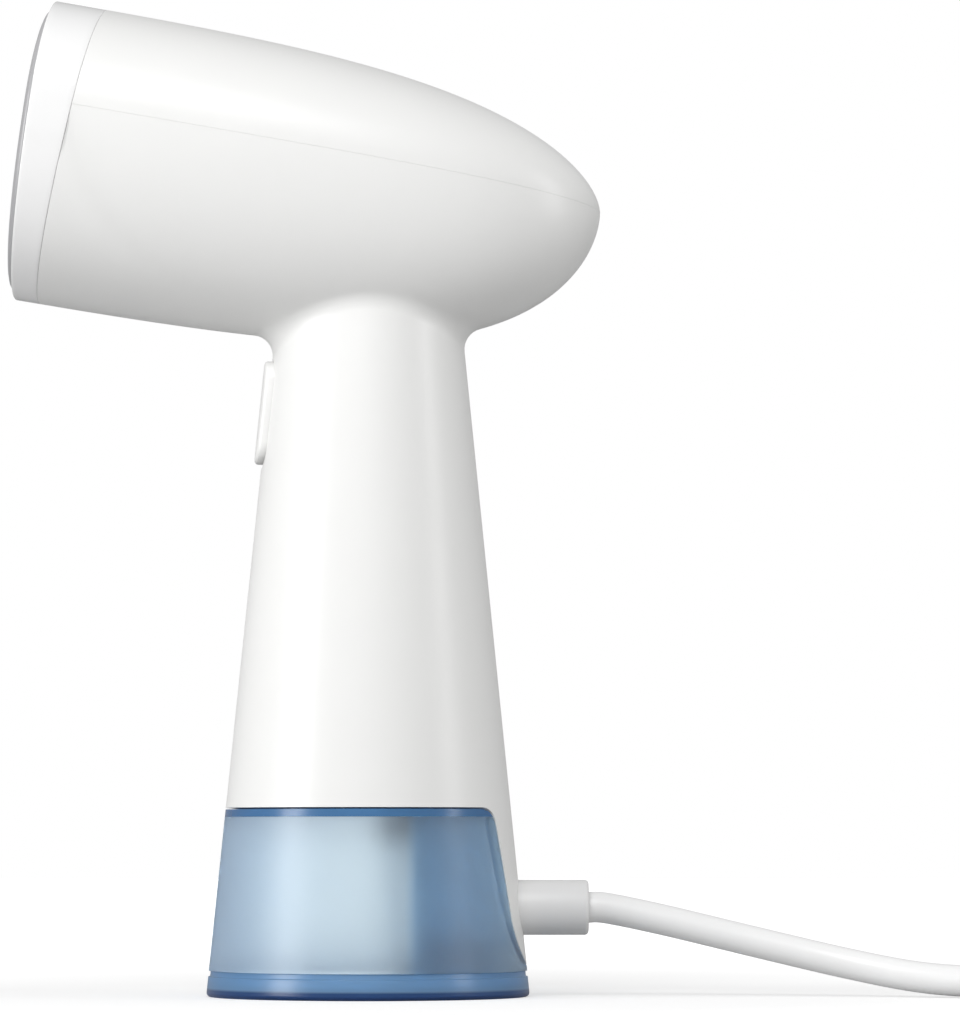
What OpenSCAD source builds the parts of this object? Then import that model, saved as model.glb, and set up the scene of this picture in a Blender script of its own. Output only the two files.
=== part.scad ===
// Hand-held garment steamer: tilted steam head, tapered handle, slide-off water tank and free mains cord.
// The origin is the centre of the tank's underside, on the handle's axis. +X is the rear and +Z is up.

/* [Handle and tank] */
// Outer radius of the tapered body at the floor
base_r = 39.9; // [38:0.1:41]
// Radius lost per millimetre of height
taper = 0.101; // [0.08:0.001:0.12]
// Height at which the tank ends and the housing begins
split_z = 46; // [44:0.5:48]
// Running gap between the tank and the housing
dock_gap = 0.4; // [0.3:0.05:0.8]
// Wall of the white housing
wall = 2.5; // [2:0.1:3.2]
// Wall of the tank shell
tank_wall = 2.2; // [1.6:0.1:2.8]
// Thickness of the tank's top deck
deck_t = 1.9; // [1.5:0.1:2.6]
// Height of the welded tank base
base_h = 6.4; // [5:0.1:6.8]
// Floor thickness of the tank base
floor_t = 2; // [1.5:0.1:3]
// Underside of the docking plate inside the handle
dock_z = 70; // [68:0.5:78]
// Thickness of the docking plate
dock_t = 2.5; // [2:0.1:3.5]

/* [Spine] */
// Radius of the spine's rounded lower end
spine_r = 13.9; // [12:0.1:15]
// Half width of the spine where it joins the housing
spine_top = 16.8; // [15:0.1:19]
// Front face of the spine
spine_x = 12.9; // [12:0.1:16]
// Wall of the spine
spine_wall = 2; // [1.6:0.1:2.5]
// Clearance of the spine in the tank's pocket
spine_gap = 0.5; // [0.3:0.05:0.8]
// Wall of the tank's pocket
pocket_wall = 1.5; // [1.2:0.1:2]

/* [Head] */
// Rear tip of the head
nose_x = 57.5; // [50:0.5:64]
// Height of the rear tip
nose_z = 194.3; // [190:0.1:210]
// Rise of the parting plane towards the front, per millimetre
parting_slope = 0.172; // [0.14:0.001:0.2]
// Height of the head above the parting plane
head_up = 29.2; // [26:0.1:34]
// Depth of the head below the parting plane
head_down = 46.6; // [42:0.1:48]
// Half width of the head
head_w = 37; // [33:0.1:42]
// Lean of the seam behind the bezel
seam_lean = 13.5; // [10:0.5:15]
// Lower end of that seam
seam_x = -82; // [-86:0.5:-76]
// Lean of the front face
face_lean = 8.45; // [6:0.05:10]
// Centre of the front face along X
face_x = -82.8; // [-90:0.1:-80]
// Wall of the bezel
bezel_wall = 1.6; // [1.4:0.1:2]
// Rise of the steam plate's dome
dome_h = 2.8; // [1.5:0.1:4]
// Diameter of a steam hole
hole_d = 2.4; // [1.6:0.1:3.2]

/* [Steam engine] */
// Thickness of the generator casting
generator_t = 12; // [10:0.5:16]
// Diameter of the heating element's tube
element_d = 6.5; // [5:0.1:8]
// Diameter of the pump's cylinder
pump_d = 14; // [12:0.5:16]
// Width of the pump's coil block along Y
coil_w = 24; // [20:1:28]
// Height of the pump's coil block
coil_h = 20; // [16:1:21]
// Outer diameter of the water hoses
hose_d = 6; // [5:0.5:7]
// Bore of the water hoses
hose_bore = 3; // [2:0.5:3.5]

/* [Trigger] */
// Width of the button
button_w = 15; // [12:0.5:18]
// Height of the button
button_h = 25.5; // [22:0.5:28]
// Height of the button's centre
button_z = 144.3; // [140:0.1:148]
// How far the button stands out of the handle
button_out = 1.9; // [1.2:0.1:3]
// Diameter of the hinge pins
pin_d = 2; // [1.6:0.1:2.4]
// Running clearance of a hinge pin, on the radius
pin_gap = 0.05; // [0.03:0.01:0.1]

/* [Tank fittings] */
// Radius of the filler cap
cap_r = 8.5; // [7.5:0.1:9]
// Radius of the filler hole
filler_r = 6.5; // [5:0.1:7]
// Bore of the outlet socket
socket_bore = 6.4; // [6:0.1:7]
// Diameter of the docking spigot
spigot_d = 5.4; // [4.8:0.1:5.8]

/* [Cord] */
// Diameter of the mains cord
cord_d = 7.8; // [6:0.1:8]
// Height at which the cord leaves the spine
cord_z = 21.9; // [20:0.1:24]
// Diameter of the cord guard
guard_d = 13.6; // [12:0.1:16]
// Rear end of the cord guard
guard_end = 54.4; // [48:0.1:60]
// Diameter of the coil at the middle of its turns
coil_d = 80; // [78:1:82]

/* [Hidden] */

// Lathe: radius of the tapered body at a height
function body_r(z) = base_r - taper * z;
cone_lean = atan(taper);
smooth = 72;

// Head: height share and width share at a place along X, for a shell that lies inset by some distance
head_tail = 206.7;
head_front = -104;
section_power = 2.2;
profile_power = 5.5;
profile_root = 0.575;
width_power = 7;
parting_lean = atan(parting_slope);
function along(x, inset) = max(0, min(1, 1 - (nose_x - inset - x) / head_tail));
function rise(x, inset) = pow(1 - pow(along(x, inset), profile_power), profile_root);
function spread(x, inset) = sqrt(1 - pow(along(x, inset), width_power));
function parting_z(x) = nose_z + parting_slope * (nose_x - x);
function bend(v) = sign(v) * pow(abs(v), 2 / section_power);
ring_n = 48;
station_n = 22;
function section(w, up, down) = [for (k = [0:ring_n - 1]) let (a = 360 * k / ring_n, s = sin(a))
    [w * bend(cos(a)), (s > 0 ? up : down) * bend(s)]];
function head_ring(x, inset) = [for (p = section((head_w - inset) * spread(x, inset),
    (head_up - inset) * rise(x, inset), (head_down - inset) * rise(x, inset))) [x, p[0], parting_z(x) + p[1]]];

// Front face: the section's widest line lies this far above the face's own centre
face_z = 209;
face_scale = 1 / (cos(face_lean) + parting_slope * sin(face_lean));
face_mid = (parting_z(face_x) - face_z) * face_scale;
plate_edge = bezel_wall + 0.4;
casting_inset = 9;
plate_back = 4;
casting_back = plate_back + 1.5 + generator_t;
inlet_z = -20;
terminal_z = -8;
terminal_y = 9;
terminal_end = casting_back + 8.5;
function face_point(x, y, z) = [face_x + x * cos(face_lean) + z * sin(face_lean), y,
    face_z - x * sin(face_lean) + z * cos(face_lean)];

// Docking line: spigot, socket, valve and suction tube share it
dock_x = spine_x - 2 - 4.4;
socket_r = socket_bore / 2 + 1;
deck_z = split_z - deck_t;
socket_top = split_z + 1.8;
tube_bottom = floor_t + 3;

// Filler cap and its hinge
seal_t = 0.8;
cap_t = 2;
cap_gap = 0.3;
cap_z = split_z + cap_gap + seal_t;
hinge_x = -3.8;
hinge_z = cap_z + cap_t / 2;
cap_x = hinge_x - cap_r - 1.7;
knuckle_r = pin_d / 2 + 0.9;

// Trigger hinge, bracket and switch
pivot_x = -17.5;
pivot_z = button_z + button_h / 2 - 2;
bracket_x = -14;
bracket_t = 1.5;
ear_y = 4.6;
ear_t = 2;
window_gap = 0.5;
window_drop = 1.1;
switch_z = pivot_z - 17;
switch_front = -20.3;
plunger_tip = -22.3;
plunger_d = 2.4;

// Pump and inner frame
pump_x = -3;
frame_x = 12;
frame_t = 2;
frame_w = 28;
frame_bottom = dock_z + 6;
frame_top = 156;
pump_bottom = dock_z + 26;
pump_top = pump_bottom + 36;
coil_z = pump_bottom + 7;
board_h = 36;
mount_t = 4;
mount_r = pump_d / 2 + 3;
mount_z = [pump_bottom + 2, pump_top - 8];
frame_screw_z = [frame_bottom + 6, 146];
boss_r = 25;
boss_angles = [55, 125, 235, 305];
lead_d = 2.5;
pilot_d = 2.5;

// Cord: lies on the floor along the route's points, then is coiled and tied, with the plug at its end
cord_r = cord_d / 2;
floor_line = cord_r + 0.1;
coil_x = 205;
coil_y = 20;
coil_height = 16;
coil_breadth = 24;
coil_round = 3.5;
lane_y = coil_y - coil_d / 2 - 8;
tail_lift = 12;
plug_x = 272;
plug_y = -20;
plug_w = 35;
plug_h = 26;
plug_l = 30;
plug_nose = 10;
tail_end = plug_x - plug_nose;
cord_route = [[guard_end, 0, cord_z], [59, 0, 21.7], [73, 0, 18.8], [96, 0, 13.3], [118, -1.8, 8.2],
    [135, -8, 5], [150, -15.2, floor_line], [168, -23.3, floor_line], [184, -27.6, floor_line],
    [192, lane_y, floor_line]];
tail_route = [[216, lane_y, tail_lift], [228, -27.2, 11.8], [240, -24.4, 11.6], [251, -21.2, 12.2],
    [258, plug_y, plug_h / 2], [tail_end, plug_y, plug_h / 2]];

// Spline through a route's points, then rings around it
function knot(p, i) = p[max(0, min(len(p) - 1, i))];
function blend(a, b, c, d, t) = 0.5 * (2 * b + (c - a) * t + (2 * a - 5 * b + 4 * c - d) * t * t
    + (3 * b - a - 3 * c + d) * t * t * t);
function spline(p, n) = concat([for (i = [0:len(p) - 2], j = [0:n - 1])
    blend(knot(p, i - 1), p[i], p[i + 1], knot(p, i + 2), j / n)], [p[len(p) - 1]]);
function unit(v) = v / norm(v);
function heading(p, i) = unit(knot(p, i + 1) - knot(p, i - 1));
function ring(c, t, r, sides) = let (u = unit(cross([0, 1, 0], t)), v = cross(t, u))
    [for (k = [0:sides - 1]) c + r * (cos(360 * k / sides) * u + sin(360 * k / sides) * v)];
function rings(p, r, sides) = [for (i = [0:len(p) - 1]) ring(p[i], heading(p, i), r, sides)];
function reversed(list) = [for (i = [len(list) - 1:-1:0]) list[i]];

// Skin over equal rings: closed by its two end rings, or joined end to end
module skin(loops, endless = false) {
    n = len(loops[0]);
    m = len(loops);
    last = endless ? m - 1 : m - 2;
    sides = [for (j = [0:last], k = [0:n - 1]) let (a = j * n, b = ((j + 1) % m) * n, q = (k + 1) % n)
        [a + k, b + k, b + q, a + q]];
    ends = endless ? [] : [[for (k = [0:n - 1]) k], [for (k = [n - 1:-1:0]) (m - 1) * n + k]];
    polyhedron(points = [for (loop = loops, p = loop) p], faces = concat(sides, ends), convexity = 6);
}
module rod(route, d, sides = 8, steps = 3) {
    skin(rings(spline(route, steps), d / 2, sides));
}
module hose(route, steps = 3) {
    path = spline(route, steps);
    skin(concat(rings(path, hose_d / 2, 8), reversed(rings(path, hose_bore / 2, 8))), endless = true);
}

// Tapered body between two heights, grown or shrunk by some distance
module cone(z1, z2, grow = 0) {
    translate([0, 0, z1])
        cylinder(h = z2 - z1, r1 = body_r(z1) + grow, r2 = body_r(z2) + grow, $fn = smooth);
}
module across(x1, x2) {
    translate([x1, 0, 0]) rotate([90, 0, 90]) linear_extrude(x2 - x1) children();
}
module rod_y(x, z, d, y1, y2) {
    translate([x, y1, z]) rotate([-90, 0, 0]) cylinder(h = y2 - y1, d = d, $fn = 32);
}
module rod_x(x1, x2, y, z, d) {
    translate([x1, y, z]) rotate([0, 90, 0]) cylinder(h = x2 - x1, d = d, $fn = 32);
}
module block(x1, x2, y1, y2, z1, z2) {
    translate([x1, y1, z1]) cube([x2 - x1, y2 - y1, z2 - z1]);
}
module screw(length, head_d = 4.6, shank_d = 2.4, head_h = 1.5) {
    translate([0, 0, -head_h]) cylinder(h = head_h, d = head_d, $fn = 32);
    cylinder(h = length, d = shank_d, $fn = 32);
}

// Spine outline, seen from behind; grow widens it
module spine_outline(grow, top) {
    translate([0, cord_z]) circle(r = spine_r + grow, $fn = smooth);
    polygon([[-spine_r - grow, cord_z], [spine_r + grow, cord_z], [spine_top + grow, split_z],
        [spine_top + grow, top], [-spine_top - grow, top], [-spine_top - grow, split_z]]);
}
module pocket_space(top) {
    across(spine_x - spine_gap, base_r + 10) spine_outline(spine_gap, top);
}

// Head solids and the planes that part them
module head_solid(inset = 0) {
    tip = nose_x - inset - 0.05;
    skin([for (i = [0:station_n]) head_ring(tip - (tip - head_front) * pow(1 - i / station_n, 2), inset)]);
}
module above_parting(lift = 0) {
    translate([nose_x, 0, nose_z + lift]) rotate([0, parting_lean, 0]) translate([-260, -100, 0])
        cube([320, 200, 120]);
}
module ahead_of(x, z, lean, back = 0) {
    translate([x, 0, z]) rotate([0, lean, 0]) translate([back - 100, -100, -100]) cube([100, 200, 260]);
}
module ahead_of_seam(back = 0) {
    ahead_of(seam_x, parting_z(seam_x) - head_down, seam_lean, back);
}
module ahead_of_face() {
    ahead_of(face_x, face_z, face_lean);
}
module on_face() {
    translate([face_x, 0, face_z]) rotate([0, face_lean, 0]) children();
}
// A slice of the head's section, on the front face, from depth x1 to x2
module slice(x1, x2, inset) {
    across(x1, x2) translate([0, face_mid])
        polygon(section(head_w - inset, head_up * face_scale - inset, head_down * face_scale - inset));
}

// A screw boss under the handle's wall, tied to the wall by a web
module dock_boss(angle) {
    rotate([0, 0, angle]) hull() {
        translate([boss_r, 0, dock_z + dock_t]) cylinder(h = 12, r = 3, $fn = 24);
        translate([body_r(dock_z + 14) - wall + 0.4, 0, dock_z + dock_t]) cylinder(h = 12, r = 1, $fn = 12);
    }
}
module frame_boss(z) {
    hull() {
        rod_x(frame_x + frame_t, body_r(z) - wall + 0.8, 0, z, 6.4);
        rod_x(body_r(z) - wall - 2, body_r(z) - wall + 0.5, 0, z - 5, 4);
    }
}
module spine_boss(side) {
    hull() {
        rod_x(spine_x + spine_wall, spine_x + 10, side * (spine_top - 4.8), dock_z - 10, 5);
        rod_x(spine_x + spine_wall, spine_x + 10, side * (spine_top - spine_wall + 0.6), dock_z - 10, 5);
    }
}
module bracket_rail(side) {
    z1 = button_z - 15;
    z2 = button_z + 15;
    hull() for (z = [z1, z2])
        translate([bracket_x + bracket_t, side * (sqrt(pow(body_r(z) - wall, 2) - 144) + 0.6) - (side > 0 ? 5 : 0),
            z]) cube([3, 5, 0.5]);
}

module main_housing() {
    color("white") difference() {
        union() {
            difference() {
                cone(split_z + dock_gap, 190);
                cone(split_z + dock_gap - 1, 191, -wall);
                head_solid(wall);
            }
            difference() {
                head_solid();
                head_solid(wall);
                cone(100, 200, -wall);
            }
            intersection() {
                cone(2, dock_z);
                difference() {
                    across(spine_x, base_r) spine_outline(0, dock_z);
                    intersection() {
                        across(spine_x - 1, base_r) spine_outline(-spine_wall, dock_z + 1);
                        cone(0, dock_z + 2, -wall);
                    }
                }
            }
            for (angle = boss_angles) dock_boss(angle);
            for (z = frame_screw_z) frame_boss(z);
            for (side = [-1, 1]) {
                spine_boss(side);
                bracket_rail(side);
            }
        }
        above_parting(-0.1);
        ahead_of_seam();
        button_outline(window_gap, window_drop, -8, 8);
        rod_x(spine_x + 10, base_r + 5, 0, cord_z, guard_neck_d);
        for (angle = boss_angles) rotate([0, 0, angle]) translate([boss_r, 0, dock_z])
            cylinder(h = 11, d = pilot_d, $fn = 32);
        for (z = frame_screw_z) rod_x(frame_x, frame_x + 8, 0, z, pilot_d);
        for (side = [-1, 1]) rod_x(spine_x, spine_x + 8, side * (spine_top - 4.8), dock_z - 10, pilot_d);
    }
}

module head_cover() {
    color("white") difference() {
        union() {
            difference() {
                head_solid();
                head_solid(wall);
            }
            // ribs across the crown
            for (i = [0:7]) let (x = -58 + 12 * i, z = parting_z(x) + (head_up - wall) * rise(x, wall))
                hull() for (y = [-6, 6]) translate([x, y, z - 0.5]) cube([1.2, 1, 2.5], center = true);
        }
        difference() {
            translate([-200, -100, 100]) cube([300, 200, 200]);
            above_parting(0.1);
        }
        ahead_of_seam();
    }
}

module front_bezel() {
    color("white") difference() {
        intersection() {
            head_solid();
            ahead_of_seam(-0.2);
        }
        head_solid(bezel_wall);
        ahead_of_face();
    }
}

hole_rings = [[0, 1], [10, 6], [20, 12]];
module steam_plate() {
    color("silver") on_face() difference() {
        hull() {
            slice(-0.4, plate_back, plate_edge);
            slice(-dome_h * 0.55, 0, plate_edge + 1.4);
            slice(-dome_h * 0.85, 0, plate_edge + 6);
            slice(-dome_h, 0, plate_edge + 16);
        }
        for (rule = hole_rings, k = [1:rule[1]]) let (a = 360 * k / rule[1])
            rod_x(-dome_h - 1, plate_back + 1, rule[0] * sin(a), rule[0] * cos(a), hole_d);
    }
}

module plate_seal() {
    color("dimgray") on_face() difference() {
        slice(plate_back, plate_back + 1.5, casting_inset);
        slice(plate_back - 1, plate_back + 3, casting_inset + 2.5);
    }
}

module element_path(d) {
    bend_r = 16;
    across_x = casting_back;
    translate([across_x, 0, 4]) rotate([0, 90, 0]) rotate([0, 0, 90]) rotate_extrude(angle = 180, $fn = smooth)
        translate([bend_r, 0]) circle(d = d, $fn = 32);
    for (side = [-1, 1]) translate([across_x, side * bend_r, terminal_z]) cylinder(h = 12, d = d, $fn = 32);
}
screw_spots = [for (a = [35:110:365]) [24 * cos(a), 24 * sin(a)]];

module steam_generator() {
    color("gainsboro") on_face() difference() {
        slice(plate_back + 1.5, casting_back, casting_inset);
        slice(plate_back + 1, casting_back - 5, casting_inset + 4);
        for (spot = screw_spots) rod_x(casting_back - 6, casting_back + 1, spot[0], spot[1], 2.4);
        rod_x(casting_back - 6, casting_back + 1, 0, inlet_z, 6);
    }
}

module heating_element() {
    color("darkgray") on_face() translate([element_d / 2, 0, 0]) {
        element_path(element_d);
        for (side = [-1, 1]) {
            rod_x(casting_back, casting_back + 5.25 - element_d / 2 + 3, side * 16, terminal_z, 4);
        }
    }
}

module thermostat() {
    color("silver") on_face() {
        rod_x(casting_back, casting_back + 5, 0, 2, 16);
        rod_x(casting_back + 5, casting_back + 9, 0, 2, 11);
        for (side = [-1, 1]) block(casting_back + 9, casting_back + 14, side * 3.5 - 1, side * 3.5 + 1, 1.6, 2.4);
    }
}

module thermal_fuse() {
    color("tan") on_face() {
        rod_y(casting_back + 2, -13, 4, -9, 9);
        rod_y(casting_back + 2, -13, 1.2, -13, -9);
        rod_y(casting_back + 2, -13, 1.2, 9, 13);
    }
}

module generator_screws() {
    color("gray") on_face() for (spot = screw_spots)
        translate([casting_back, spot[0], spot[1]]) rotate([0, -90, 0]) screw(5.5);
}

module water_inlet() {
    color("goldenrod") on_face() difference() {
        union() {
            rod_x(casting_back - 5, casting_back, 0, inlet_z, 6);
            rod_x(casting_back, casting_back + 3, 0, inlet_z, 8);
            rod_x(casting_back + 3, casting_back + 8, 0, inlet_z, 5);
        }
        rod_x(casting_back - 6, casting_back + 9, 0, inlet_z, 2);
    }
}

inlet_end = face_point(casting_back + 8, 0, inlet_z);
module delivery_hose() {
    color("white") hose([[pump_x, 0, pump_top + 6], [pump_x, 0, 148], [-4, 0, 162], [-14, 0, 175],
        [-30, 0, 180], face_point(casting_back + 18, 0, inlet_z), inlet_end]);
}

module pump_body() {
    color("wheat") difference() {
        union() {
            translate([pump_x, 0, pump_bottom]) cylinder(h = pump_top - pump_bottom, d = pump_d, $fn = smooth);
            translate([pump_x, 0, pump_bottom - 6]) cylinder(h = pump_top - pump_bottom + 12, d = 5, $fn = 32);
        }
        translate([pump_x, 0, pump_bottom - 7]) cylinder(h = pump_top - pump_bottom + 14, d = 2.5, $fn = 32);
    }
}

module pump_coil() {
    color("dimgray") difference() {
        block(frame_x - 30, frame_x, -coil_w / 2, coil_w / 2, coil_z, coil_z + coil_h);
        translate([pump_x, 0, coil_z - 1]) cylinder(h = coil_h + 2, d = pump_d, $fn = smooth);
    }
}

module pump_mounts() {
    color("black") for (z = mount_z) translate([pump_x, 0, z]) difference() {
        cylinder(h = mount_t, r = mount_r, $fn = smooth);
        translate([0, 0, -1]) cylinder(h = mount_t + 2, d = pump_d, $fn = smooth);
    }
}

module suction_hose() {
    z = dock_z + dock_t + 0.5;
    top = pump_bottom - 6;
    color("white") hose([[dock_x, 0, z], [dock_x, 0, z + 3], [(dock_x + pump_x) / 2, 0, (z + top) / 2],
        [pump_x, 0, top - 3], [pump_x, 0, top]]);
}

module dock_plate() {
    color("whitesmoke") difference() {
        cone(dock_z, dock_z + dock_t, -wall - 0.3);
        translate([dock_x, 0, dock_z - 1]) cylinder(h = dock_t + 2, d = spigot_d, $fn = 32);
        for (angle = boss_angles) rotate([0, 0, angle]) translate([boss_r, 0, dock_z - 1])
            cylinder(h = dock_t + 2, d = 2.4, $fn = 32);
        block(17, 25, -9, 9, dock_z - 1, dock_z + dock_t + 1);
    }
}

module dock_spigot() {
    color("whitesmoke") difference() {
        union() {
            translate([dock_x, 0, deck_z + 1]) cylinder(h = dock_z + dock_t + 0.5 - deck_z - 1, d = spigot_d, $fn = 32);
            translate([dock_x, 0, dock_z - 2]) cylinder(h = 2, d = 9, $fn = 32);
        }
        translate([dock_x, 0, deck_z]) cylinder(h = 40, d = 2.5, $fn = 32);
    }
}

module dock_seal() {
    color("darkslategray") translate([dock_x, 0, socket_top + 0.3]) difference() {
        cylinder(h = 2, d = socket_r * 2, $fn = 32);
        translate([0, 0, -1]) cylinder(h = 4, d = spigot_d, $fn = 32);
    }
}

module dock_screws() {
    color("gray") for (angle = boss_angles) rotate([0, 0, angle]) translate([boss_r, 0, dock_z]) screw(10.5);
}

module inner_frame() {
    color("lightgray") difference() {
        union() {
            block(frame_x, frame_x + frame_t, -frame_w / 2, frame_w / 2, frame_bottom, frame_top);
            for (z = mount_z) block(pump_x + 4, frame_x, -6, 6, z, z + mount_t);
            for (y = [-9, 9], z = [coil_z + 2, coil_z + board_h - 2])
                rod_x(frame_x + frame_t, frame_x + frame_t + 1, y, z, 4);
        }
        for (z = mount_z) translate([pump_x, 0, z - 1]) cylinder(h = mount_t + 2, r = mount_r, $fn = smooth);
        for (z = frame_screw_z) rod_x(frame_x - 1, frame_x + frame_t + 1, 0, z, 2.4);
    }
}

module frame_screws() {
    color("gray") for (z = frame_screw_z) translate([frame_x, 0, z]) rotate([0, 90, 0]) screw(7.5);
}

module trigger_bracket() {
    color("lightgray") difference() {
        union() {
            block(bracket_x, bracket_x + bracket_t, -13, 13, button_z - 14, button_z + 14);
            for (side = [-1, 1]) {
                y1 = side > 0 ? ear_y : -ear_y - ear_t;
                block(pivot_x, bracket_x, y1, y1 + ear_t, pivot_z - 2, pivot_z + 2);
                rod_y(pivot_x, pivot_z, 4, y1, y1 + ear_t);
            }
        }
        rod_y(pivot_x, pivot_z, pin_d, -20, 20);
    }
}

module pivot_pin() {
    color("silver") rod_y(pivot_x, pivot_z, pin_d, -ear_y - ear_t, ear_y + ear_t);
}

module trigger_spring() {
    color("silver") {
        for (i = [0:1]) translate([pivot_x, 2.9 + i * 0.6, pivot_z]) rotate([90, 0, 0])
            rotate_extrude($fn = 32) translate([1.6, 0]) circle(d = 0.5, $fn = 16);
        block(pivot_x + 1.5, bracket_x, 3.25, 3.75, pivot_z + 0.4, pivot_z + 0.9);
    }
}

module microswitch() {
    color("black") difference() {
        block(switch_front, bracket_x, -3.2, 3.2, switch_z - 6, switch_z + 7);
        rod_x(switch_front - 1, switch_front + 3.6, 0, switch_z, plunger_d + 0.2);
    }
}

module switch_plunger() {
    color("red") rod_x(plunger_tip, switch_front + 1.3, 0, switch_z, plunger_d);
}

// Button outline on the front of the handle, between two depths about the outer surface
module button_outline(grow, drop, x1, x2) {
    corner = 5;
    translate([-body_r(button_z), 0, button_z]) rotate([0, cone_lean, 0]) across(x1, x2)
        for (y = [-1, 1], z = [-1, 1]) {
            translate([y * (button_w / 2 - corner), z * (button_h / 2 - corner) - (z < 0 ? drop : 0)])
                circle(r = corner + grow, $fn = 32);
            translate([-button_w / 2 + corner, -button_h / 2 - drop - grow])
                square([button_w - 2 * corner, button_h + drop + 2 * grow]);
            translate([-button_w / 2 - grow, -button_h / 2 + corner - drop])
                square([button_w + 2 * grow, button_h + drop - 2 * corner]);
        }
}

module trigger_button() {
    color("white") difference() {
        union() {
            intersection() {
                button_outline(0, 0, -8, 8);
                difference() {
                    cone(button_z - 30, button_z + 30, button_out);
                    cone(button_z - 31, button_z + 31, -wall - 0.5);
                }
            }
            block(-body_r(pivot_z) + 1.5, pivot_x, -3.5, 2.2, pivot_z - 1.8, pivot_z + 1.2);
            rod_y(pivot_x, pivot_z, 4, -3.5, 2.2);
            rod_x(-body_r(switch_z) + 1, plunger_tip - 0.3, 0, switch_z, 3);
        }
        rod_y(pivot_x, pivot_z, pin_d + 2 * pin_gap, -5, 5);
    }
}

module control_board() {
    color("darkgreen") {
        block(frame_x + frame_t + 1, frame_x + frame_t + 2.6, -11, 11, coil_z, coil_z + board_h);
        for (i = [0:2]) block(frame_x + frame_t + 2.6, frame_x + frame_t + 4.6, -4, 4, coil_z + 3 + 11 * i,
            coil_z + 10 + 11 * i);
    }
}

module terminal_block() {
    color("ivory") block(spine_x + spine_wall, spine_x + 12, -9, 9, split_z, dock_z - 14);
}

module spine_cover() {
    color("white") difference() {
        across(spine_x, spine_x + spine_wall) spine_outline(-spine_wall - 0.1, dock_z - 0.1);
        for (side = [-1, 1]) rod_x(spine_x - 1, spine_x + 4, side * (spine_top - 4.8), dock_z - 10, 2.4);
        for (side = [-1, 1]) rod_x(spine_x - 1, spine_x + 4, side * 7, cord_z, 2.4);
    }
}

module spine_screws() {
    color("gray") for (side = [-1, 1])
        translate([spine_x, side * (spine_top - 4.8), dock_z - 10]) rotate([0, 90, 0]) screw(7.5);
}

module cord_clamp() {
    color("ivory") difference() {
        union() {
            block(19, 25, -9.5, 9.5, cord_z - 6, cord_z + 6);
            for (side = [-1, 1]) block(spine_x + spine_wall, 19, side * 7 - 2, side * 7 + 2, cord_z - 3, cord_z + 3);
        }
        rod_x(18, 26, 0, cord_z, cord_d);
        for (side = [-1, 1]) rod_x(14, 26, side * 7, cord_z, 2.4);
    }
}

module clamp_screws() {
    color("gray") for (side = [-1, 1]) translate([25, side * 7, cord_z]) rotate([0, -90, 0]) screw(11.5, 4.2);
}

guard_neck_d = guard_d - 3;
module cord_guard() {
    color("white") difference() {
        union() {
            difference() {
                rod_x(30, guard_end, 0, cord_z, guard_d);
                cone(0, 60, 0.02);
            }
            rod_x(31, 40, 0, cord_z, guard_neck_d);
            rod_x(29, 31, 0, cord_z, guard_d);
        }
        rod_x(28, guard_end + 1, 0, cord_z, cord_d);
    }
}

module inner_lead() {
    color("white") {
        rod_x(18, guard_end, 0, cord_z, cord_d);
        for (side = [-1, 1]) rod([[18, side * 2, cord_z + 1], [17, side * 3, cord_z + 4], [17, side * 4, 34],
            [18, side * 4.5, 42], [18, side * 4.5, split_z]], lead_d - 0.5);
    }
}

function lead_route(side) = [[20, side * 5, dock_z - 14], [21, side * 5, dock_z], [21.5, side * 6, 84],
    [21, side * 6, 100], [20.5, side * 6.5, 128], [17.8, side * 6.5, 152], [12, side * 8, 168], [-8, side * 12, 184],
    [-34, side * 15, 194], face_point(casting_back + 8.25, side * 16, terminal_z)];
module line_lead() {
    color("saddlebrown") rod(lead_route(1), lead_d);
}
module neutral_lead() {
    color("royalblue") rod(lead_route(-1), lead_d);
}

module mains_cord() {
    color("white") rod(cord_route, cord_d, 12, 3);
}

module cord_coil() {
    color("white") translate([coil_x, coil_y, 0.1]) rotate_extrude($fn = smooth)
        translate([coil_d / 2, coil_height / 2]) {
            square([coil_breadth, coil_height - 2 * coil_round], center = true);
            square([coil_breadth - 2 * coil_round, coil_height], center = true);
            for (x = [-1, 1], z = [-1, 1])
                translate([x * (coil_breadth / 2 - coil_round), z * (coil_height / 2 - coil_round)])
                    circle(r = coil_round, $fn = 24);
        }
}

module cable_tie() {
    color("black") translate([coil_x + coil_d / 2, coil_y, 0.1]) difference() {
        translate([-coil_breadth / 2 - 1, -2.5, 0]) cube([coil_breadth + 2, 5, coil_height + 1]);
        translate([-coil_breadth / 2, -3, -1]) cube([coil_breadth, 6, coil_height + 1]);
    }
}

module cord_tail() {
    color("white") rod(tail_route, cord_d, 12, 3);
}

module mains_plug() {
    color("white") translate([0, plug_y, plug_h / 2]) difference() {
        union() {
            rod_x(tail_end, plug_x, 0, 0, 14);
            across(plug_x, plug_x + plug_l) {
                for (side = [-1, 1]) translate([side * (plug_w - plug_h) / 2, 0]) circle(d = plug_h, $fn = smooth);
                translate([-(plug_w - plug_h) / 2, -plug_h / 2]) square([plug_w - plug_h, plug_h]);
            }
        }
        for (side = [-1, 1]) rod_x(plug_x + 20, plug_x + plug_l + 1, side * 9.5, 0, 4.8);
    }
}

module plug_pins() {
    color("silver") for (side = [-1, 1])
        rod_x(plug_x + 20, plug_x + plug_l + 19, plug_y + side * 9.5, plug_h / 2, 4.8);
}

module tank_shell() {
    color("skyblue") difference() {
        cone(base_h, deck_z);
        difference() {
            cone(base_h - 1, deck_z + 1, -tank_wall);
            across(spine_x - spine_gap - pocket_wall, base_r + 10)
                spine_outline(spine_gap + pocket_wall, deck_z + 2);
        }
        pocket_space(split_z + 5);
    }
}

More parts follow.
